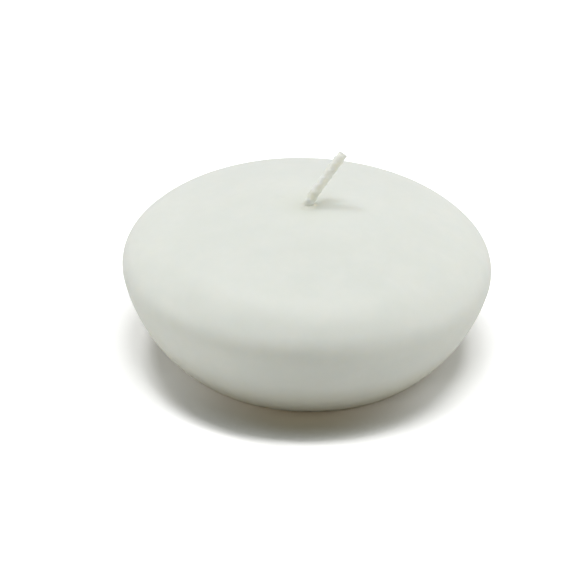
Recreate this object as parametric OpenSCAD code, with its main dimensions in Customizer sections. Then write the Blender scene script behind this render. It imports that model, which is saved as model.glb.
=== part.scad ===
// Floating candle: a pressed wax disc with a low crown and a bowl-shaped underside, and a plaited
// cotton wick that a crimped tin tab holds at its foot.
// Millimetres. +Z is up, and the origin is at the middle of the flat base.

/* [Wax body] */
// Diameter across the rounded edge
body_d = 76.2; // [72:0.2:84]
// Height of the crown above the base, with the dip round the wick left out
body_h = 32.7; // [31:0.1:35]
// Height of the crown above the widest line
crown_h = 13.8; // [12.5:0.1:16]
// Fall of the crown from its middle to the start of the shoulder
crown_drop = 4.5; // [3:0.1:5]
// Width of the shoulder, from the end of the crown out to the widest line
shoulder_w = 9.6; // [8.5:0.1:12]
// Radius of the rounded edge
edge_r = 6.3; // [4.5:0.1:7]
// Radius of the bowl-shaped underside, seen in section
belly_r = 33.5; // [28:0.5:45]
// Diameter of the flat base
base_d = 53.8; // [46:0.2:58]
// Radius that rounds the edge of the base
base_edge_r = 1.2; // [0.8:0.1:3]

/* [Wax round the wick] */
// Diameter of the shallow dip in the middle of the crown
dip_d = 18; // [12:0.5:30]
// Depth of that dip
dip_depth = 0.4; // [0.1:0.05:1]
// Height to which the wax climbs the wick
collar_h = 0.5; // [0.2:0.05:0.8]
// Width of that collar of wax
collar_w = 1.1; // [0.6:0.1:2]

/* [Wick] */
// Width of the plait over its broad side
wick_w = 2.05; // [1.6:0.05:2.4]
// Thickness of the plait
wick_t = 1.5; // [1.3:0.05:1.7]
// Thickness of one of its three strands
strand_d = 1.05; // [0.85:0.05:1.2]
// Length along the wick in which a strand crosses over and comes back
plait_len = 5.4; // [4:0.2:8]
// Share of the plait's width and thickness that the wax between its strands fills
fill_share = 0.92; // [0.6:0.02:0.96]
// Length of wick that stands out of the wax
wick_out = 12.6; // [8:0.1:20]
// Length from the wax to the kink in the wick
kink_at = 2.6; // [2:0.1:6]
// Lean of the wick below the kink, in degrees from upright
low_angle = 32; // [0:1:36]
// Lean of the wick above the kink
high_angle = 39; // [15:1:50]
// Direction in which the wick leans, in degrees from +X towards +Y
turn_angle = 27; // [0:1:90]
// Length over which the wick bends as it leaves the wax
bend_len = 0.8; // [0.8:0.1:2]
// Length over which it bends at the kink
kink_len = 0.6; // [0.4:0.1:1.5]

/* [Wick tab] */
// Diameter of the tin disc
tab_d = 15; // [12:0.5:20]
// Thickness of the tin
tab_t = 0.3; // [0.2:0.05:0.4]
// Height of the neck above the underside of the disc
neck_h = 5.5; // [4:0.1:8]
// Radius where the neck is drawn up out of the disc
draw_r = 0.6; // [0.3:0.05:1]
// Height of the round part of the neck, below the crimp
round_h = 1.8; // [1.6:0.1:2.5]
// Share by which the crimp flattens the neck
crimp_share = 0.3; // [0.2:0.01:0.35]
// Height of the tab's underside above the base
tab_lift = 0.3; // [0.1:0.05:0.8]

/* [Fits] */
// Space between the wick and what it passes through
wick_gap = 0.06; // [0.03:0.01:0.15]
// Space between the tab and the wax beside it
tab_gap = 0.15; // [0.05:0.05:0.4]
// Height of the end of the wick above the tab's underside
wick_inset = 0.2; // [0:0.05:0.5]

/* [Hidden] */
// Steps along each arc of the outline, and sides of the turned wax
crown_steps = 20;
dip_steps = 18;
shoulder_steps = 12;
edge_steps = 20;
belly_steps = 24;
base_edge_steps = 6;
turned_sides = 120;
// Strands of the plait, sides of the wick and the length between its rings
strands = 3;
wick_sides = 24;
ring_step = 0.36;
// Sides of the tab, rings up its neck and steps along the round below it
tab_sides = 48;
neck_rings = 8;
draw_steps = 4;

// Holes and heights that follow from the sizes above
strand_r = strand_d / 2;
sway = wick_w / 2 - strand_r;
weave = wick_t / 2 - strand_r;
hole_r = wick_w / 2 + wick_gap;
neck_out_r = hole_r + tab_t;
// The crimp widens the neck across its flats by the share that it takes away between them
neck_bore_r = hole_r * (1 + crimp_share) + tab_t + tab_gap;
tab_top = tab_lift + tab_t;
neck_top = tab_lift + neck_h;
wick_foot = tab_lift + wick_inset;

// Centre of the circle that lies dp from point p and dq from point q, left of the line from p to q
function centre_from(p, dp, q, dq) =
    let (v = q - p, d = norm(v), a = (dp * dp - dq * dq + d * d) / (2 * d), h = sqrt(dp * dp - a * a))
    p + (a * v + h * [-v[1], v[0]]) / d;

// Angle of the line from point p to point q
function bearing(p, q) = atan2(q[1] - p[1], q[0] - p[0]);

// Points of an arc from one angle to another, with both ends
function arc(c, r, from, to, steps) =
    [for (i = [0:steps]) let (t = from + (to - from) * i / steps) c + r * [cos(t), sin(t)]];

// The list without its first point, which the list before it already holds
function rest_of(list) = [for (i = [1:len(list) - 1]) list[i]];

// Centres of the five arcs of the outline, each tangent to the next
edge_c = [body_d / 2 - edge_r, body_h - crown_h];
base_c = [base_d / 2, base_edge_r];
// The crown passes through its middle and its rim, and the shoulder leaves it there without a break
crown_rim = [body_d / 2 - shoulder_w, body_h - crown_drop];
crown_r = (crown_rim[0] * crown_rim[0] + crown_drop * crown_drop) / (2 * crown_drop);
crown_c = [0, body_h - crown_r];
outward = (crown_rim - crown_c) / crown_r;
to_rim = crown_rim - edge_c;
shoulder_r = (to_rim * to_rim - edge_r * edge_r) / (2 * (to_rim * outward - edge_r));
shoulder_c = crown_rim - shoulder_r * outward;
belly_c = centre_from(base_c, belly_r - base_edge_r, edge_c, belly_r - edge_r);
// Angles at which one arc hands over to the next, from the crown down
crown_end = bearing(crown_c, crown_rim);
shoulder_end = bearing(shoulder_c, edge_c);
edge_end = bearing(belly_c, edge_c);
belly_end = bearing(belly_c, base_c);
dip_rim = acos(dip_d / 2 / crown_r);

// Surface near the wick: the crown's arc, less half a cosine wave, plus a curve up to the wick
function dip(r) = dip_depth * (1 + cos(360 * r / dip_d)) / 2;
function collar(r) = let (u = max(0, 1 - (r - hole_r) / collar_w)) collar_h * u * u;
function middle_z(r) = crown_c[1] + sqrt(crown_r * crown_r - r * r) - dip(r) + collar(r);

// Half of the outer outline, from the mouth of the wick hole over the crown and down to the base.
// The steps through the dip grow with the square of their count, so they are finest at the collar.
outline = concat(
    [for (i = [0:dip_steps])
        let (r = hole_r + (dip_d / 2 - hole_r) * pow(i / dip_steps, 2))
        [r, middle_z(r)]],
    rest_of(arc(crown_c, crown_r, dip_rim, crown_end, crown_steps)),
    rest_of(arc(shoulder_c, shoulder_r, crown_end, shoulder_end, shoulder_steps)),
    rest_of(arc(edge_c, edge_r, shoulder_end, edge_end, edge_steps)),
    rest_of(arc(belly_c, belly_r, edge_end, belly_end, belly_steps)),
    rest_of(arc(base_c, base_edge_r, belly_end, -90, base_edge_steps))
);
// The stepped hole, from the recess in the base up to the wick hole
recess_r = tab_d / 2 + tab_gap;
hole = [
    [recess_r, 0],
    [recess_r, tab_top],
    [neck_bore_r + draw_r, tab_top],
    [neck_bore_r, tab_top + draw_r],
    [neck_bore_r, neck_top + tab_gap],
    [hole_r, neck_top + tab_gap]
];

// Path of the wick: straight up through the wax, then two bends, each an even turn over its length
mouth_z = middle_z(hole_r);
inner_len = mouth_z - wick_foot;
function ramp(u) = min(1, max(0, u));
function lean(s) = low_angle * ramp((s - inner_len) / bend_len)
    + (high_angle - low_angle) * ramp((s - inner_len - kink_at) / kink_len);
function along(s) = [sin(lean(s)) * cos(turn_angle), sin(lean(s)) * sin(turn_angle), cos(lean(s))];
function across(s) = [cos(lean(s)) * cos(turn_angle), cos(lean(s)) * sin(turn_angle), -sin(lean(s))];
beside = [-sin(turn_angle), cos(turn_angle), 0];
ring_count = ceil((inner_len + wick_out) / ring_step);
ring_len = (inner_len + wick_out) / ring_count;
path = [for (
    i = 0, p = [0, 0, wick_foot];
    i <= ring_count;
    i = i + 1, p = p + ring_len * along((i - 0.5) * ring_len)
) p];

// Centre of one strand in the plait's section: it sways across once while it goes over and under twice
function strand(k, s) = let (t = 360 * (s / plait_len + k / strands)) [sway * sin(t), weave * sin(2 * t)];
// How far a strand reaches from the middle of the plait in one direction, or 0 where it does not
function reach(c, u) = let (d = c * u, q = strand_r * strand_r - c * c + d * d) q < 0 ? 0 : d + sqrt(q);
// Outside of the plait: the strand that reaches furthest, over an oval core of wax
function plait_r(a, s) =
    let (u = [cos(a), sin(a)], core = fill_share / norm([u[0] / (wick_w / 2), u[1] / (wick_t / 2)]))
    max(core, max([for (k = [1:strands]) reach(strand(k, s), u)]));

// Share of the crimp at a height in the neck: none in the round part, whole over the upper half
function crimp_at(z) =
    let (u = ramp(2 * (z - tab_lift - round_h) / (neck_h - round_h)))
    crimp_share * u * u * (3 - 2 * u);
// Inside of the neck in one direction: an oval whose long side lies along the plait's broad side
function neck_r(a, z) =
    let (k = crimp_at(z), x = cos(a) / (1 + k), y = sin(a) / (1 - k)) hole_r / sqrt(x * x + y * y);
// Up to the first ring above the neck, the crimp presses the plait into its own oval
function wick_r(a, s) = let (z = wick_foot + s)
    z < neck_top + ring_len ? min(plait_r(a, s), neck_r(a, z) - wick_gap) : plait_r(a, s);

// Faces between ring i and ring i + 1 of a closed tube with n points in a ring
function band(i, n) = [for (j = [0:n - 1]) let (k = (j + 1) % n)
    each [[i * n + j, (i + 1) * n + j, (i + 1) * n + k], [i * n + j, (i + 1) * n + k, i * n + k]]];

module wax_body() {
    color("#f0f2ea")
        rotate_extrude($fn = turned_sides)
            polygon(concat(outline, hole));
}

module wick() {
    rings = [for (i = [0:ring_count], j = [0:wick_sides - 1])
        let (a = 360 * j / wick_sides, s = i * ring_len, r = wick_r(a, s))
        path[i] + r * (cos(a) * across(s) + sin(a) * beside)];
    foot = len(rings);
    tip = foot + 1;
    last = ring_count * wick_sides;
    color("#d6d7ca")
        polyhedron(
            points = concat(rings, [path[0], path[ring_count]]),
            faces = concat(
                [for (i = [0:ring_count - 1]) each band(i, wick_sides)],
                [for (j = [0:wick_sides - 1]) [foot, j, (j + 1) % wick_sides]],
                [for (j = [0:wick_sides - 1]) [tip, last + (j + 1) % wick_sides, last + j]]
            )
        );
}

// Section of the tab in one direction: up the rim, in over the disc, up the outside of the neck, down
// its inside and out under the disc, with a round inside and out where the neck is drawn up
function tab_section(a) =
    let (
        round_c = [neck_out_r + draw_r, tab_top + draw_r],
        levels = [for (i = [0:neck_rings]) tab_lift + round_h + (neck_h - round_h) * i / neck_rings]
    )
    concat(
        [[tab_d / 2, tab_lift], [tab_d / 2, tab_top]],
        arc(round_c, draw_r, 270, 180, draw_steps),
        [for (z = levels) [neck_r(a, z) + tab_t, z]],
        [for (i = [neck_rings:-1:0]) [neck_r(a, levels[i]), levels[i]]],
        arc(round_c, draw_r + tab_t, 180, 270, draw_steps)
    );

module wick_sustainer() {
    n = len(tab_section(0));
    shell = [for (j = [0:tab_sides - 1])
        let (a = 360 * j / tab_sides)
        each [for (p = tab_section(a)) [p[0] * cos(a), p[0] * sin(a), p[1]]]];
    color("#b9bcbe")
        rotate([0, 0, turn_angle])
            polyhedron(
                points = shell,
                faces = [for (j = [0:tab_sides - 1], f = band(j, n))
                    [for (i = [2, 1, 0]) f[i] % (tab_sides * n)]]
            );
}

wax_body();
wick();
wick_sustainer();
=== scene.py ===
import math

import bpy
import numpy as np
from mathutils import Matrix, Quaternion, Vector


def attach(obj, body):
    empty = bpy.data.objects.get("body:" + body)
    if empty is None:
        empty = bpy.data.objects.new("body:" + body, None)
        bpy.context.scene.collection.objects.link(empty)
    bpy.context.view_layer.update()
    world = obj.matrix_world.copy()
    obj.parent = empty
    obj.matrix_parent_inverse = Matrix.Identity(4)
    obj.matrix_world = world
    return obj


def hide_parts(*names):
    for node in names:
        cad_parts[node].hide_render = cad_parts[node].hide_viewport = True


# A white floating candle: a pressed wax disc, the plaited wick through its middle, and the tin tab that
# holds the foot of the wick. Lengths are in millimetres until a mesh is made, which is in metres.
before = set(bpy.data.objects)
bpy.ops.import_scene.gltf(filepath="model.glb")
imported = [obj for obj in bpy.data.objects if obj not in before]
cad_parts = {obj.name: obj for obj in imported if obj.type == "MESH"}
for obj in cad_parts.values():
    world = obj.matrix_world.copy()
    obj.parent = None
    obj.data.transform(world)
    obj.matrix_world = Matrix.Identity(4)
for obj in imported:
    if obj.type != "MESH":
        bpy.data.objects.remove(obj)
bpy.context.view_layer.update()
scene = bpy.context.scene


# ---------------------------------------------------------------- Wax body
# One disc of paraffin wax, pressed from wax beads in a steel die: a low crown over a bowl-shaped underside
# and a flat base with a round recess for the tab. Above the tab the wax has closed on the wick.
body_d, body_h, crown_h, crown_drop, shoulder_w = 76.2, 32.7, 13.8, 4.5, 9.6
edge_r, belly_r, base_d, base_edge_r = 6.3, 33.5, 53.8, 1.2
dip_d, dip_depth, collar_h, collar_w = 18.0, 0.4, 0.5, 1.1
hole_r, middle_r = 1.085, 0.1
recess_r, recess_top, recess_edge_r = 7.65, 0.6, 0.3
bore_r, bore_round, bore_top = 1.8605, 0.6, 5.95
wax_turns = 360


def arc(centre, radius, start, end, count):
    """Points at even angles, in radians, along an arc round a centre (distance from the axis, height)."""
    turn = np.linspace(start, end, count)
    return np.column_stack([centre[0] + radius * np.cos(turn), centre[1] + radius * np.sin(turn)])


def centre_from(p, to_p, q, to_q):
    """Centre that lies to_p from point p and to_q from point q, left of the line from p to q."""
    line = q - p
    length = math.hypot(*line)
    part = (to_p ** 2 - to_q ** 2 + length ** 2) / (2 * length)
    side = math.sqrt(to_p ** 2 - part ** 2)
    return p + (part * line + side * np.array([-line[1], line[0]])) / length


def bearing(p, q):
    """Angle of the line from point p to point q."""
    return math.atan2(q[1] - p[1], q[0] - p[0])


def crown_height(r):
    """Height of the surface round the wick: the crown's arc, less half a cosine wave, plus a curve up to
    the wick that grows with the square of the nearness."""
    crown = crown_c[1] + np.sqrt(crown_r ** 2 - r ** 2)
    dip = dip_depth * (1 + np.cos(2 * np.pi * r / dip_d)) / 2
    return crown - dip + collar_h * np.clip(1 - (r - hole_r) / collar_w, 0, 1) ** 2


# Five tangent arcs: crown, shoulder, rounded edge, belly and the edge of the base
edge_c = np.array([body_d / 2 - edge_r, body_h - crown_h])
base_c = np.array([base_d / 2, base_edge_r])
crown_rim = np.array([body_d / 2 - shoulder_w, body_h - crown_drop])
crown_r = (crown_rim[0] ** 2 + crown_drop ** 2) / (2 * crown_drop)
crown_c = np.array([0.0, body_h - crown_r])
outward = (crown_rim - crown_c) / crown_r
to_rim = crown_rim - edge_c
shoulder_r = (to_rim @ to_rim - edge_r ** 2) / (2 * (to_rim @ outward - edge_r))
shoulder_c = crown_rim - shoulder_r * outward
belly_c = centre_from(base_c, belly_r - base_edge_r, edge_c, belly_r - edge_r)
crown_end, shoulder_end = bearing(crown_c, crown_rim), bearing(shoulder_c, edge_c)
edge_end, belly_end = bearing(belly_c, edge_c), bearing(belly_c, base_c)

dip_out = hole_r + (dip_d / 2 - hole_r) * np.linspace(0, 1, 34) ** 2
dip_out = np.concatenate([np.linspace(middle_r, hole_r, 6)[:-1], dip_out])
wax_skin = np.vstack([
    np.column_stack([dip_out, crown_height(dip_out)]),
    arc(crown_c, crown_r, math.acos(dip_d / 2 / crown_r), crown_end, 28)[1:],
    arc(shoulder_c, shoulder_r, crown_end, shoulder_end, 22)[1:],
    arc(edge_c, edge_r, shoulder_end, edge_end, 30)[1:],
    arc(belly_c, belly_r, edge_end, belly_end, 40)[1:],
    arc(base_c, base_edge_r, belly_end, -math.pi / 2, 12)[1:],
])
wax_outline = np.vstack([
    wax_skin,
    [[r, 0.0] for r in np.linspace(base_d / 2, recess_r + recess_edge_r, 14)[1:]],
    arc((recess_r + recess_edge_r, recess_edge_r), recess_edge_r, -math.pi / 2, -math.pi, 6)[1:],
    [[recess_r, recess_top - 0.1], [recess_r - 0.1, recess_top], [5.0, recess_top]],
    [[bore_r + bore_round, recess_top], [bore_r, recess_top + bore_round]],
    [[bore_r, 3.5], [bore_r, bore_top], [bore_r / 2, bore_top], [middle_r, bore_top]],
])


def out_of_loop(loop):
    """Unit direction out of a closed outline at each of its points, from the points on both sides."""
    step = np.roll(loop, -1, axis=0) - np.roll(loop, 1, axis=0)
    out = np.column_stack([-step[:, 1], step[:, 0]])
    return out / np.linalg.norm(out, axis=1, keepdims=True)


def soft_waves(points, shortest, longest, count, seed):
    """Mean of cosine waves that run in random directions with lengths in a range: -1 to 1, mostly near 0."""
    rng = np.random.default_rng(seed)
    way = rng.normal(size=(3, count))
    way /= np.linalg.norm(way, axis=0)
    length = rng.uniform(shortest, longest, count)
    return np.cos(points @ (way * 2 * np.pi / length) + rng.uniform(0, 2 * np.pi, count)).mean(axis=-1)


def bump_at(points, place, width):
    """Bell of height 1 round a place."""
    return np.exp(-((points - place) ** 2).sum(axis=-1) / width ** 2)


# Marks left by the die and by handling: place, width and depth, and two nicks in the edge of the base
marks = [
    ((-5.4, 3.4, 32.4), 0.8, 0.14), ((-16.1, 1.3, 31.3), 0.9, 0.05), ((21.4, -15.6, 28.8), 0.9, 0.04),
    ((-12.7, -30.6, 26.0), 0.9, 0.05), ((-21.7, -26.8, 25.0), 1.0, 0.06), ((15.7, -29.6, 25.7), 0.9, 0.05),
    ((3.6, -31.2, 27.0), 0.8, 0.04), ((-8.5, -16.8, 30.8), 0.9, 0.04),
    ((1.2, -27.7, 0.3), 1.0, 0.14), ((5.0, -27.3, 0.3), 0.8, 0.12),
]

# The outline turned about the axis, sunk a few hundredths of a millimetre where the die pressed unevenly: over
# the skin and the outermost rows of the base, and from plain_r out, growing over plain_w
turn = np.linspace(0, 2 * np.pi, wax_turns, endpoint=False)[None, :, None]
ring_out = np.concatenate([np.cos(turn), np.sin(turn), 0 * turn], axis=2)
outline_way = out_of_loop(wax_outline)
wax_grid = wax_outline[:, None, :1] * ring_out + [0, 0, 1] * wax_outline[:, None, 1:]
wax_way = outline_way[:, None, :1] * ring_out + [0, 0, 1] * outline_way[:, None, 1:]
base_rows, plain_r, plain_w, wide_wave, small_wave = 4, 2.5, 3, 0.055, 0.012
outside = (np.arange(len(wax_outline)) < len(wax_skin) + base_rows)[:, None]
far_from_wick = np.clip((np.hypot(wax_grid[..., 0], wax_grid[..., 1]) - plain_r) / plain_w, 0, 1)
sink = wide_wave * (0.5 + 0.9 * soft_waves(wax_grid, shortest=14, longest=34, count=18, seed=5))
sink += small_wave * (0.5 + soft_waves(wax_grid, shortest=3, longest=7, count=24, seed=6))
sink += sum(depth * bump_at(wax_grid, place, width) for place, width, depth in marks)
wax_grid = wax_grid - wax_way * (np.clip(sink, 0, None) * outside * far_from_wick)[..., None]


def grid_faces(rows, turns, closed):
    """Quads between each ring of points and the next; closed joins the last ring to the first."""
    r = np.arange(rows if closed else rows - 1)[:, None]
    t = np.arange(turns)[None, :]
    below, above = r * turns, (r + 1) % rows * turns
    right = (t + 1) % turns
    return np.stack([below + t, above + t, above + right, below + right], axis=2).reshape(-1, 4)


def tube_faces(rings, sides):
    """The quads of a tube and a fan of triangles over each end, whose two middle points follow the rings."""
    j = np.arange(sides)
    k = (j + 1) % sides
    last, start, end = (rings - 1) * sides, rings * sides, rings * sides + 1
    first_fan = np.column_stack([np.full(sides, start), j, k])
    last_fan = np.column_stack([np.full(sides, end), last + k, last + j])
    return grid_faces(rings, sides, closed=False).tolist() + np.vstack([first_fan, last_fan]).tolist()


def make_piece(name, points, faces, replaced, smooth_to=40):
    """A piece of the candle as a mesh at the origin, in metres, which rides on the body and stands for
    the CAD node; edges sharper than smooth_to degrees stay sharp."""
    mesh = bpy.data.meshes.new(name)
    mesh.from_pydata((np.asarray(points).reshape(-1, 3) / 1000).tolist(), [], [list(f) for f in faces])
    mesh.validate()
    mesh.shade_smooth()
    mesh.set_sharp_from_angle(angle=math.radians(smooth_to))
    piece = bpy.data.objects.new(name, mesh)
    scene.collection.objects.link(piece)
    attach(piece, "root")
    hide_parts(replaced)
    return piece


middles = [[0, 0, wax_outline[0, 1]], [0, 0, bore_top]]
wax = make_piece(
    "wax_disc", np.concatenate([wax_grid.reshape(-1, 3), middles]), tube_faces(len(wax_outline), wax_turns),
    "wax_body",
)


def new_material(name):
    """A node material with its tree, its Principled shader and a Texture Coordinate node."""
    material = bpy.data.materials.new(name)
    material.use_nodes = True
    tree = material.node_tree
    return material, tree, tree.nodes["Principled BSDF"], tree.nodes.new("ShaderNodeTexCoord")


def add_node(tree, kind, settings=None, **inputs):
    """A node of a kind with its settings and inputs. An input goes by its socket's name, or by its number
    after a low line where names repeat, and is a value or another node's output."""
    node = tree.nodes.new(kind)
    for key, value in (settings or {}).items():
        setattr(node, key, value)
    for key, value in inputs.items():
        socket = node.inputs[int(key[1:])] if key[0] == "_" else node.inputs[key.replace("_", " ")]
        if isinstance(value, bpy.types.NodeSocket):
            tree.links.new(value, socket)
        else:
            socket.default_value = value
    return node


def blend(tree, factor, first, second, mode="MIX"):
    """Colour output that mixes two colours by a factor."""
    return add_node(
        tree, "ShaderNodeMix", {"data_type": "RGBA", "blend_type": mode}, _0=factor, _6=first, _7=second
    ).outputs[2]


def times(tree, first, second):
    """Product of two values."""
    return add_node(tree, "ShaderNodeMath", {"operation": "MULTIPLY"}, _0=first, _1=second).outputs[0]


def spread(tree, value, low, high, to_low=0.0, to_high=1.0):
    """A value stretched from one range to another and held within it."""
    return add_node(
        tree, "ShaderNodeMapRange", {"clamp": True},
        Value=value, From_Min=low, From_Max=high, To_Min=to_low, To_Max=to_high,
    ).outputs[0]


def grain_group():
    """Node group for fine uneven grain: noise on two scales, as a mask round 0.5 and as a height."""
    group = bpy.data.node_groups.new("fine grain", "ShaderNodeTree")
    for name, kind in (("Vector", "NodeSocketVector"), ("Coarse", "NodeSocketFloat"), ("Fine", "NodeSocketFloat")):
        group.interface.new_socket(name, in_out="INPUT", socket_type=kind)
    for name in ("Mask", "Height"):
        group.interface.new_socket(name, in_out="OUTPUT", socket_type="NodeSocketFloat")
    start, end = group.nodes.new("NodeGroupInput"), group.nodes.new("NodeGroupOutput")
    coarse = add_node(
        group, "ShaderNodeTexNoise", Vector=start.outputs[0], Scale=start.outputs[1], Detail=3.0, Roughness=0.55
    )
    fine = add_node(
        group, "ShaderNodeTexNoise", Vector=start.outputs[0], Scale=start.outputs[2], Detail=4.0, Roughness=0.6
    )
    both = add_node(group, "ShaderNodeMath", {"operation": "ADD"}, _0=coarse.outputs[0], _1=fine.outputs[0])
    group.links.new(coarse.outputs[0], end.inputs[0])
    group.links.new(times(group, both.outputs[0], 0.5), end.inputs[1])
    return group


def place_grain(tree, vector, coarse, fine):
    """The fine grain group in a material, with its own sizes; returns the mask and the height."""
    node = add_node(tree, "ShaderNodeGroup", {"node_tree": grain}, Vector=vector, Coarse=coarse, Fine=fine)
    return node.outputs[0], node.outputs[1]


grain = grain_group()

# White paraffin: satin, a little translucent, slightly green and grey, and warmer round the wick. Three tones are
# painted light
# and shade: a paler ring at the mouth of the hole, a darker, warmer band low on the belly, and the palest colour
# along the base's edge
material, tree, shader, place = new_material("pressed_wax")
mask, height = place_grain(tree, place.outputs["Object"], 160.0, 900.0)
pale = blend(tree, spread(tree, mask, 0.35, 0.65), (0.665, 0.692, 0.644, 1), (0.686, 0.708, 0.660, 1))
beads = add_node(
    tree, "ShaderNodeTexVoronoi", {"feature": "SMOOTH_F1"}, Vector=place.outputs["Object"], Scale=620.0
).outputs["Distance"]
pale = blend(tree, spread(tree, beads, 0.25, 0.75, 0.0, 0.3), pale, (0.656, 0.681, 0.634, 1))
axis = add_node(
    tree, "ShaderNodeVectorMath", {"operation": "MULTIPLY"}, _0=place.outputs["Object"], _1=(1.0, 1.0, 0.0)
)
from_axis = add_node(tree, "ShaderNodeVectorMath", {"operation": "LENGTH"}, _0=axis.outputs[0]).outputs["Value"]
near_wick = spread(tree, from_axis, 0.0012, 0.0090, 0.75, 0.0)
colour = blend(tree, near_wick, pale, (0.655, 0.674, 0.600, 1))
# Painted light: a paler, warmer ring at the mouth of the hole lifts the shade that the wick and its hole leave in
# the wax
colour = blend(tree, spread(tree, from_axis, 0.0012, 0.0022, 0.7, 0.0), colour, (0.690, 0.695, 0.600, 1))
# Painted shade, tinted by warm light bounced up from the paper: darker and warmer low on the belly, off the flat
# base
height_up = add_node(tree, "ShaderNodeSeparateXYZ", _0=place.outputs["Object"]).outputs["Z"]
off_base = spread(tree, from_axis, 0.0235, 0.0264)
painted_shade_low_skin = times(tree, spread(tree, height_up, 0.0020, 0.0110, 1.0, 0.0), off_base)
colour = blend(tree, painted_shade_low_skin, colour, (0.612, 0.612, 0.525, 1))
# Painted light: the edge of the base is paler and warmer, for warm light bounced up from the paper
painted_light_base_edge = times(tree, spread(tree, height_up, 0.0003, 0.0026, 0.7, 0.0), off_base)
colour = blend(tree, painted_light_base_edge, colour, (0.820, 0.780, 0.650, 1))
tree.links.new(colour, shader.inputs["Base Color"])
tree.links.new(spread(tree, height, 0.35, 0.65, 0.42, 0.52), shader.inputs["Roughness"])
relief = add_node(tree, "ShaderNodeMath", {"operation": "MULTIPLY_ADD"}, _0=beads, _1=-0.35, _2=height)
tree.links.new(
    add_node(tree, "ShaderNodeBump", Strength=0.12, Distance=0.0002, Height=relief.outputs[0]).outputs[0],
    shader.inputs["Normal"],
)
shader.inputs["IOR"].default_value = 1.44
shader.inputs["Specular IOR Level"].default_value = 0.30
shader.inputs["Subsurface Weight"].default_value = 1.0
shader.inputs["Subsurface Radius"].default_value = (1.0, 0.90, 0.76)
shader.inputs["Subsurface Scale"].default_value = 0.010
wax.data.materials.append(material)


# ---------------------------------------------------------------- Wick
# Three cotton strands plaited flat, then drawn through hot wax that fills most of the furrows. The wick runs
# up the whole height of the wax, leans as it leaves it, and has a second bend where it was picked up.
wick_w, wick_t, strand_d, plait_len, fill_share = 2.05, 1.5, 1.05, 5.4, 0.95
yarn_depth, yarn_pitch = 0.07, 7.5
wick_foot, wick_out, kink_at = 0.5, 12.6, 2.6
low_lean, high_lean, lean_way = map(math.radians, (32, 39, 27))
bend_len, kink_len, wax_coat = 0.8, 0.6, 0.12
crimp_from, crimp_to, crimp_loss = 2.1, 5.8, 0.14
strand_r = strand_d / 2
sway, weave = wick_w / 2 - strand_r, wick_t / 2 - strand_r
inner_len = crown_height(hole_r) - wick_foot
wick_len = inner_len + wick_out


def wick_path(s):
    """Middle line of the wick at a length s from its foot, with the directions across its broad side and
    beside it. The lean grows evenly over each of the two bends, and the line is its running sum."""
    lean = low_lean * np.clip((s - inner_len) / bend_len, 0, 1)
    lean = lean + (high_lean - low_lean) * np.clip((s - inner_len - kink_at) / kink_len, 0, 1)
    c, q = math.cos(lean_way), math.sin(lean_way)
    along = np.stack([np.sin(lean) * c, np.sin(lean) * q, np.cos(lean)], axis=-1)
    across = np.stack([np.cos(lean) * c, np.cos(lean) * q, -np.sin(lean)], axis=-1)
    beside = np.broadcast_to([-q, c, 0.0], along.shape)
    mid = (along[1:] + along[:-1]) / 2 * np.diff(s)[:, None]
    line = np.vstack([[0, 0, wick_foot], [0, 0, wick_foot] + np.cumsum(mid, axis=0)])
    return line, across, beside


def squeeze_in_neck(z):
    """Share of its thickness that the plait keeps at a height: some is lost in the crimp of the tab."""
    return 1 - crimp_loss * np.clip((z - crimp_from) / 1.5, 0, 1) * np.clip((crimp_to + 0.8 - z) / 0.5, 0, 1)


def plait_reach(s, a):
    """How far the plait reaches from its middle line at a length s, in each direction a of its section.
    Strand k sways across once while it goes over and under twice, t = s / plait length + k / 3, and its ten
    yarns stand out a little. The wax between the strands is an oval. A 30-norm melts the four together."""
    x, y, melt = np.cos(a), np.sin(a), 30
    total = (fill_share / np.hypot(x / (wick_w / 2), y / (wick_t / 2))) ** melt
    for k in range(3):
        t = 2 * np.pi * (s / plait_len + k / 3)
        cx, cy = sway * np.sin(t), weave * np.sin(2 * t)
        near = cx * x + cy * y
        aside = cx ** 2 + cy ** 2 - near ** 2
        out = near + np.sqrt(np.clip(strand_r ** 2 - aside, 0, None))
        yarn = np.abs(np.sin(5 * (np.arctan2(out * y - cy, out * x - cx) + 2 * np.pi * s / yarn_pitch + k)))
        hit = (strand_r * (1 - yarn_depth + yarn_depth * yarn)) ** 2 - aside
        total = total + np.where(hit > 0, np.clip(near + np.sqrt(np.clip(hit, 0, None)), 0, None), 0) ** melt
    return total ** (1 / melt)


rings, sides = 480, 120
s = np.linspace(0, wick_len, rings)
line, across, beside = wick_path(s)
a = np.linspace(0, 2 * np.pi, sides, endpoint=False)[None, :]
reach = plait_reach(s[:, None], a)
oval = 1 / np.hypot(np.cos(a) / (wick_w / 2), np.sin(a) / (wick_t / 2))
spots = np.stack(np.broadcast_arrays(s[:, None], np.cos(a), np.sin(a)), axis=-1)
# The cut ends are a little rounded and the section is uneven
to_end = np.minimum(s, wick_len - s)[:, None]
uneven = 0.985 + 0.02 * soft_waves(spots, shortest=0.8, longest=3.0, count=24, seed=50)
reach = reach * uneven * np.sqrt(np.clip(0.80 + to_end / 0.6, 0, 1))
# How deep a place lies below the plait's oval: 1 from a fifth of the oval's reach
deep = np.clip(1 - reach / oval, 0, 0.2) * 5
# Outside the candle a coat of wax and loose fibres makes the plait a little thicker than it is inside
up = (s - inner_len)[:, None]
reach = reach + wax_coat * np.clip(up / 0.4, 0, 1) * np.clip((wick_out - up) / 1.5, 0, 1)
flat = squeeze_in_neck(line[:, 2])[:, None]
skin = line[:, None] + (reach * np.cos(a))[..., None] * across[:, None]
skin = skin + (reach * np.sin(a) * flat)[..., None] * beside[:, None]
wick = make_piece(
    "plaited_wick", np.concatenate([skin.reshape(-1, 3), line[[0, -1]]]),
    [face[::-1] for face in tube_faces(rings, sides)], "wick", smooth_to=70,
)
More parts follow.
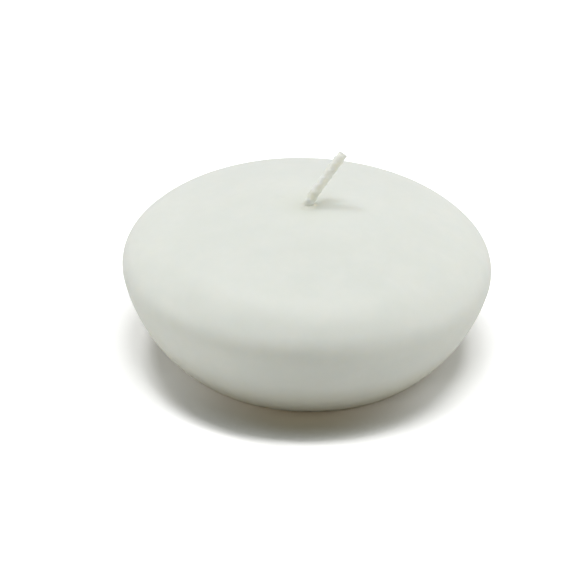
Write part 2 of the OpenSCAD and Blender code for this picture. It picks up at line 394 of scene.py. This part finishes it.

# How much wax has seeped in: most below the kink, and patches. Two bands of painted shade are added: where the wick
# leaves the wax and in the crease at the kink. Then how near a place is to the cut tip, and to the wax that has
# crept up the root
low_soak, root_band_shade, kink_crease_shade, patch_soak = 0.6, 0.4, 0.35, 0.25
soak_and_shade = low_soak * np.clip((kink_at + 0.6 - up) / 0.8, 0, 1)
# Painted shade: darker bands where the wick leaves the wax and in the crease of the kink
soak_and_shade = soak_and_shade + root_band_shade * np.exp(-((up - 0.3) / 0.5) ** 2) + kink_crease_shade * np.exp(-((up - kink_at) / 0.35) ** 2)
patches = np.clip(2 * soft_waves(skin, shortest=1.2, longest=4.0, count=14, seed=71), 0, 1)
soak_and_shade = np.clip(soak_and_shade + patch_soak * patches, 0, 1)
cut = np.broadcast_to(np.clip(1 - (wick_out - up) / 0.5, 0, 1), deep.shape)
root = np.broadcast_to(np.clip(1 - (up - 0.4) / 1.0, 0, 1), deep.shape)
for name, values, ends in (
    ("deep", deep, (0.5, 0.2)), ("soaked_and_shaded", soak_and_shade, (1.0, 0.1)), ("cut", cut, (0.0, 1.0)), ("root", root, (1.0, 0.0)),
):
    attribute = wick.data.attributes.new(name, "FLOAT", "POINT")
    attribute.data.foreach_set("value", np.append(values.ravel(), ends).astype(np.float32))

# Waxed cotton: pale grey with a green cast, darker where wax has seeped in and at the cut. Painted shade darkens
# the bands at the wax and the kink, and the furrows between the strands with their dirt. The root scatters no light
# under its skin and has painted light instead
material, tree, shader, place = new_material("waxed_cotton")
mask, height = place_grain(tree, place.outputs["Object"], 900.0, 5200.0)
soaked_and_shaded = add_node(tree, "ShaderNodeAttribute", {"attribute_name": "soaked_and_shaded"}).outputs["Fac"]
deep = add_node(tree, "ShaderNodeAttribute", {"attribute_name": "deep"}).outputs["Fac"]
colour = blend(tree, spread(tree, mask, 0.35, 0.65), (0.662, 0.678, 0.622, 1), (0.732, 0.746, 0.688, 1))
# Darker for seeped-in wax, and painted shade in the bands at the wax and the kink
colour = blend(tree, spread(tree, soaked_and_shaded, 0.0, 1.0, 0.0, 0.9), colour, (0.600, 0.620, 0.548, 1))
# Painted shade, with dirt, in the furrows between the strands
colour = blend(tree, spread(tree, deep, 0.1, 0.9, 0.0, 0.25), colour, (0.580, 0.590, 0.530, 1))
cut = add_node(tree, "ShaderNodeAttribute", {"attribute_name": "cut"}).outputs["Fac"]
colour = blend(tree, spread(tree, cut, 0.0, 1.0, 0.0, 0.9), colour, (0.430, 0.440, 0.400, 1))
root = add_node(tree, "ShaderNodeAttribute", {"attribute_name": "root"}).outputs["Fac"]
# Painted light: the root, which scatters no light under its skin, is pale
colour = blend(tree, root, colour, (0.840, 0.850, 0.785, 1))
tree.links.new(colour, shader.inputs["Base Color"])
tree.links.new(spread(tree, height, 0.3, 0.7, 0.50, 0.68), shader.inputs["Roughness"])
tree.links.new(
    add_node(tree, "ShaderNodeBump", Strength=0.35, Distance=0.00006, Height=height).outputs[0],
    shader.inputs["Normal"],
)
tree.links.new(spread(tree, root, 0.0, 1.0, 1.0, 0.0), shader.inputs["Subsurface Weight"])
shader.inputs["Subsurface Radius"].default_value = (1.0, 0.9, 0.7)
shader.inputs["Subsurface Scale"].default_value = 0.005
shader.inputs["Coat Weight"].default_value = 0.15
shader.inputs["Coat Roughness"].default_value = 0.4
wick.data.materials.append(material)


# ---------------------------------------------------------------- Tin tab
# A disc stamped from tinplate with its neck drawn up and crimped on the wick. It lies in the recess of the
# base and keeps the wick upright when the last wax is liquid.
tab_d, tab_t, tab_lift, neck_h, draw_r, round_h, crimp_share = 15.0, 0.3, 0.3, 5.5, 0.6, 1.8, 0.3
tab_sides = 192


def neck_inside(a, z):
    """Distance from the axis to the inside of the neck: an oval that grows flat over the lower half of the
    neck by a smooth step, with its long side along the plait's broad side."""
    u = np.clip(2 * (z - tab_lift - round_h) / (neck_h - round_h), 0, 1)
    k = crimp_share * u * u * (3 - 2 * u)
    return hole_r / np.sqrt((np.cos(a) / (1 + k)) ** 2 + (np.sin(a) / (1 - k)) ** 2)


def tab_shell():
    """Closed section of the tab in each direction round the axis: over the disc from its rounded rim, up
    the outside of the neck, over its lip, down the inside and out under the disc."""
    a = np.linspace(0, 2 * np.pi, tab_sides, endpoint=False)
    top = tab_lift + tab_t
    draw_c = (hole_r + tab_t + draw_r, top + draw_r)
    rim = arc((tab_d / 2 - tab_t / 2, tab_lift + tab_t / 2), tab_t / 2, -math.pi / 2, math.pi / 2, 9)
    disc = np.linspace(tab_d / 2 - tab_t / 2, draw_c[0], 16)[1:-1]
    over = np.column_stack([disc, np.full(14, top)])
    draw_out = arc(draw_c, draw_r, -math.pi / 2, -math.pi, 9)
    draw_in = arc(draw_c, draw_r + tab_t, -math.pi, -math.pi / 2, 9)
    under = np.column_stack([disc[::-1], np.full(14, tab_lift)])
    up = np.linspace(top + draw_r, tab_lift + neck_h - tab_t / 2, 26)[1:]
    lip = arc((0.0, tab_lift + neck_h - tab_t / 2), tab_t / 2, 0, math.pi, 9)[1:-1]
    turned = np.vstack([rim, over, draw_out])
    rows = [np.column_stack([np.full(tab_sides, r), np.full(tab_sides, z)]) for r, z in turned]
    rows += [np.column_stack([neck_inside(a, z) + tab_t, np.full(tab_sides, z)]) for z in up]
    rows += [np.column_stack([neck_inside(a, z) + tab_t / 2 + r, np.full(tab_sides, z)]) for r, z in lip]
    rows += [np.column_stack([neck_inside(a, z), np.full(tab_sides, z)]) for z in up[::-1]]
    turned = np.vstack([draw_in, under])
    rows += [np.column_stack([np.full(tab_sides, r), np.full(tab_sides, z)]) for r, z in turned]
    section = np.stack(rows)
    way = a + lean_way
    return np.stack([section[..., 0] * np.cos(way), section[..., 0] * np.sin(way), section[..., 1]], axis=2)


shell = tab_shell()
tab = make_piece(
    "tin_tab", shell, grid_faces(len(shell), tab_sides, closed=True)[:, ::-1].tolist(), "wick_sustainer",
    smooth_to=60,
)

# Bright tinplate: fine rolling marks one way across the sheet, cloudy where the tin has dulled
material, tree, shader, place = new_material("tinplate")
mask, _ = place_grain(tree, place.outputs["Object"], 420.0, 2600.0)
stretched = add_node(tree, "ShaderNodeMapping", Vector=place.outputs["Object"], Scale=(90.0, 5200.0, 900.0))
rolling = add_node(tree, "ShaderNodeTexNoise", Vector=stretched.outputs[0], Scale=1.0, Detail=3.0).outputs[0]
colour = blend(tree, spread(tree, mask, 0.35, 0.65), (0.58, 0.585, 0.59, 1), (0.68, 0.685, 0.69, 1))
colour = blend(tree, spread(tree, rolling, 0.3, 0.7, 0.0, 0.25), colour, (0.50, 0.50, 0.50, 1))
tree.links.new(colour, shader.inputs["Base Color"])
tree.links.new(spread(tree, rolling, 0.3, 0.7, 0.24, 0.40), shader.inputs["Roughness"])
tree.links.new(
    add_node(tree, "ShaderNodeBump", Strength=0.2, Distance=0.00002, Height=rolling).outputs[0],
    shader.inputs["Normal"],
)
shader.inputs["Metallic"].default_value = 1.0
tab.data.materials.append(material)


# ---------------------------------------------------------------- Floor, light and camera
# The candle stands on white paper under soft lamps: three above it, a weak one high on the right, one low on
# each side and one in front on the left.
floor_mesh = bpy.data.meshes.new("paper_floor")
half = 3.0
floor_mesh.from_pydata([(-half, -half, 0), (half, -half, 0), (half, half, 0), (-half, half, 0)], [], [(0, 1, 2, 3)])
floor = bpy.data.objects.new("paper_floor", floor_mesh)
scene.collection.objects.link(floor)
# White paper. The camera sees it with a painted shadow: deeper in front of the candle and lighter at the sides than
# soft lamps leave it, and brighter than white further out. Every other ray sees paper with painted shade, darker
# and warmer where the candle shuts it in
material, tree, shader, place = new_material("white_paper")
path = tree.nodes.new("ShaderNodeLightPath")
close = add_node(tree, "ShaderNodeAmbientOcclusion", {"samples": 16}, Distance=0.008)
wide = add_node(tree, "ShaderNodeAmbientOcclusion", {"samples": 16}, Distance=0.020)
aim = add_node(tree, "ShaderNodeVectorMath", {"operation": "NORMALIZE"}, _0=place.outputs["Object"]).outputs[0]
ahead = spread(tree, add_node(tree, "ShaderNodeSeparateXYZ", _0=aim).outputs["Y"], -1.0, -0.5, 1.0, 0.0)
shut_in = spread(tree, wide.outputs["AO"], 0.46, 0.69, 1.0, 0.0)
in_front = add_node(
    tree, "ShaderNodeMath", {"operation": "POWER"}, _0=times(tree, ahead, shut_in), _1=1.5
).outputs[0]
# Painted shade: the paper the camera sees is darker close to the candle and brighter than white away from it
side_paper_painted_shade = blend(tree, close.outputs["AO"], (1.03, 1.045, 1.06, 1), (1.26, 1.26, 1.26, 1))
# Painted shadow: in front of the candle, where it is shut in, the paper the camera sees is dark, warm at the
# contact
front_painted_shadow = blend(tree, close.outputs["AO"], (0.70, 0.61, 0.47, 1), (0.22, 0.24, 0.18, 1))
seen_paper_painted_shadow = blend(tree, in_front, side_paper_painted_shade, front_painted_shadow)
# Painted shade for every other ray: darker and warmer where the candle shuts the paper in, which dims its bounce
# onto the wax
paper = blend(tree, wide.outputs["AO"], (0.66, 0.59, 0.43, 1), (0.79, 0.79, 0.78, 1))
tree.links.new(blend(tree, path.outputs["Is Camera Ray"], paper, seen_paper_painted_shadow), shader.inputs["Base Color"])
shader.inputs["Roughness"].default_value = 0.9
shader.inputs["Specular IOR Level"].default_value = 0.0
floor_mesh.materials.append(material)

# The room looks white, in reflections too, and lights the candle next to nothing: the lamps do that
world = bpy.data.worlds.new("white_room")
world.use_nodes = True
scene.world = world
tree = world.node_tree
path = tree.nodes.new("ShaderNodeLightPath")
seen = path.outputs["Is Camera Ray"]
for ray in ("Is Glossy Ray", "Is Transmission Ray"):
    seen = add_node(tree, "ShaderNodeMath", {"operation": "MAXIMUM"}, _0=seen, _1=path.outputs[ray]).outputs[0]
tree.links.new(blend(tree, seen, (0.01, 0.01, 0.01, 1), (1, 1, 1, 1)), tree.nodes["Background"].inputs["Color"])

lamp_distance = 1.6


def soft_lamp(name, tilt, way, size, strength):
    """An oval area lamp, its width along +X as nearly as it can lie, that faces the candle from a tilt off the
    vertical, in a direction in degrees from +X. Strength is the light it brings to a surface facing it."""
    light = bpy.data.lights.new(name, "AREA")
    light.shape = "ELLIPSE"
    light.size, light.size_y = size
    light.energy = strength * math.pi ** 2 * lamp_distance ** 2
    lamp = bpy.data.objects.new(name, light)
    t, w = math.radians(tilt), math.radians(way)
    out = Vector((math.sin(t) * math.cos(w), math.sin(t) * math.sin(w), math.cos(t)))
    lamp.location = out * lamp_distance
    lamp.rotation_mode = "QUATERNION"
    wide = (Vector((1, 0, 0)) - out.x * out).normalized()
    lamp.rotation_quaternion = Matrix((wide, out.cross(wide), out)).transposed().to_quaternion()
    scene.collection.objects.link(lamp)


soft_lamp("lamp_over", 0, 0, (0.62, 0.22), 0.342)
soft_lamp("lamp_over_right", 14, 0, (0.3, 0.3), 0.249)
soft_lamp("lamp_over_back", 24, 140, (0.4, 0.3), 0.308)
soft_lamp("lamp_high_right", 35, 0, (0.5, 0.5), 0.059)
soft_lamp("lamp_left", 78, 184, (1.1, 0.8), 0.256)
soft_lamp("lamp_right", 78, 0, (0.8, 0.8), 0.320)
soft_lamp("lamp_front_left", 60, 240, (0.6, 0.6), 0.131)

# The camera looks down 30 degrees from the front and is turned until the candle's widest line falls where
# the photograph has it: right of the middle and above it, with the right side a little lower. The focal
# length and both shifts are in pixels of a picture 580 pixels wide.
target = Vector((0, 0, 0.0189))
distance, looking_down, roll = 0.5334, math.radians(30), math.radians(1.95)
picture, focal, aside, above = 580, 2580.0, 16.9, 27.0
out = Vector((0, -math.cos(looking_down), math.sin(looking_down)))
lens = bpy.data.cameras.new("camera")
lens.sensor_width, lens.lens = 36.0, 36.0 * focal / picture
camera = bpy.data.objects.new("camera", lens)
camera.location = target + distance * out
camera.rotation_mode = "QUATERNION"
camera.rotation_quaternion = (
    out.to_track_quat("Z", "Y")
    @ Quaternion((0, 0, 1), roll)
    @ Quaternion((0, 1, 0), math.atan(aside / focal))
    @ Quaternion((1, 0, 0), -math.atan(above / focal))
)
lens.clip_start, lens.clip_end = 0.02, 20
scene.collection.objects.link(camera)
scene.camera = camera
scene.view_settings.view_transform = "Standard"
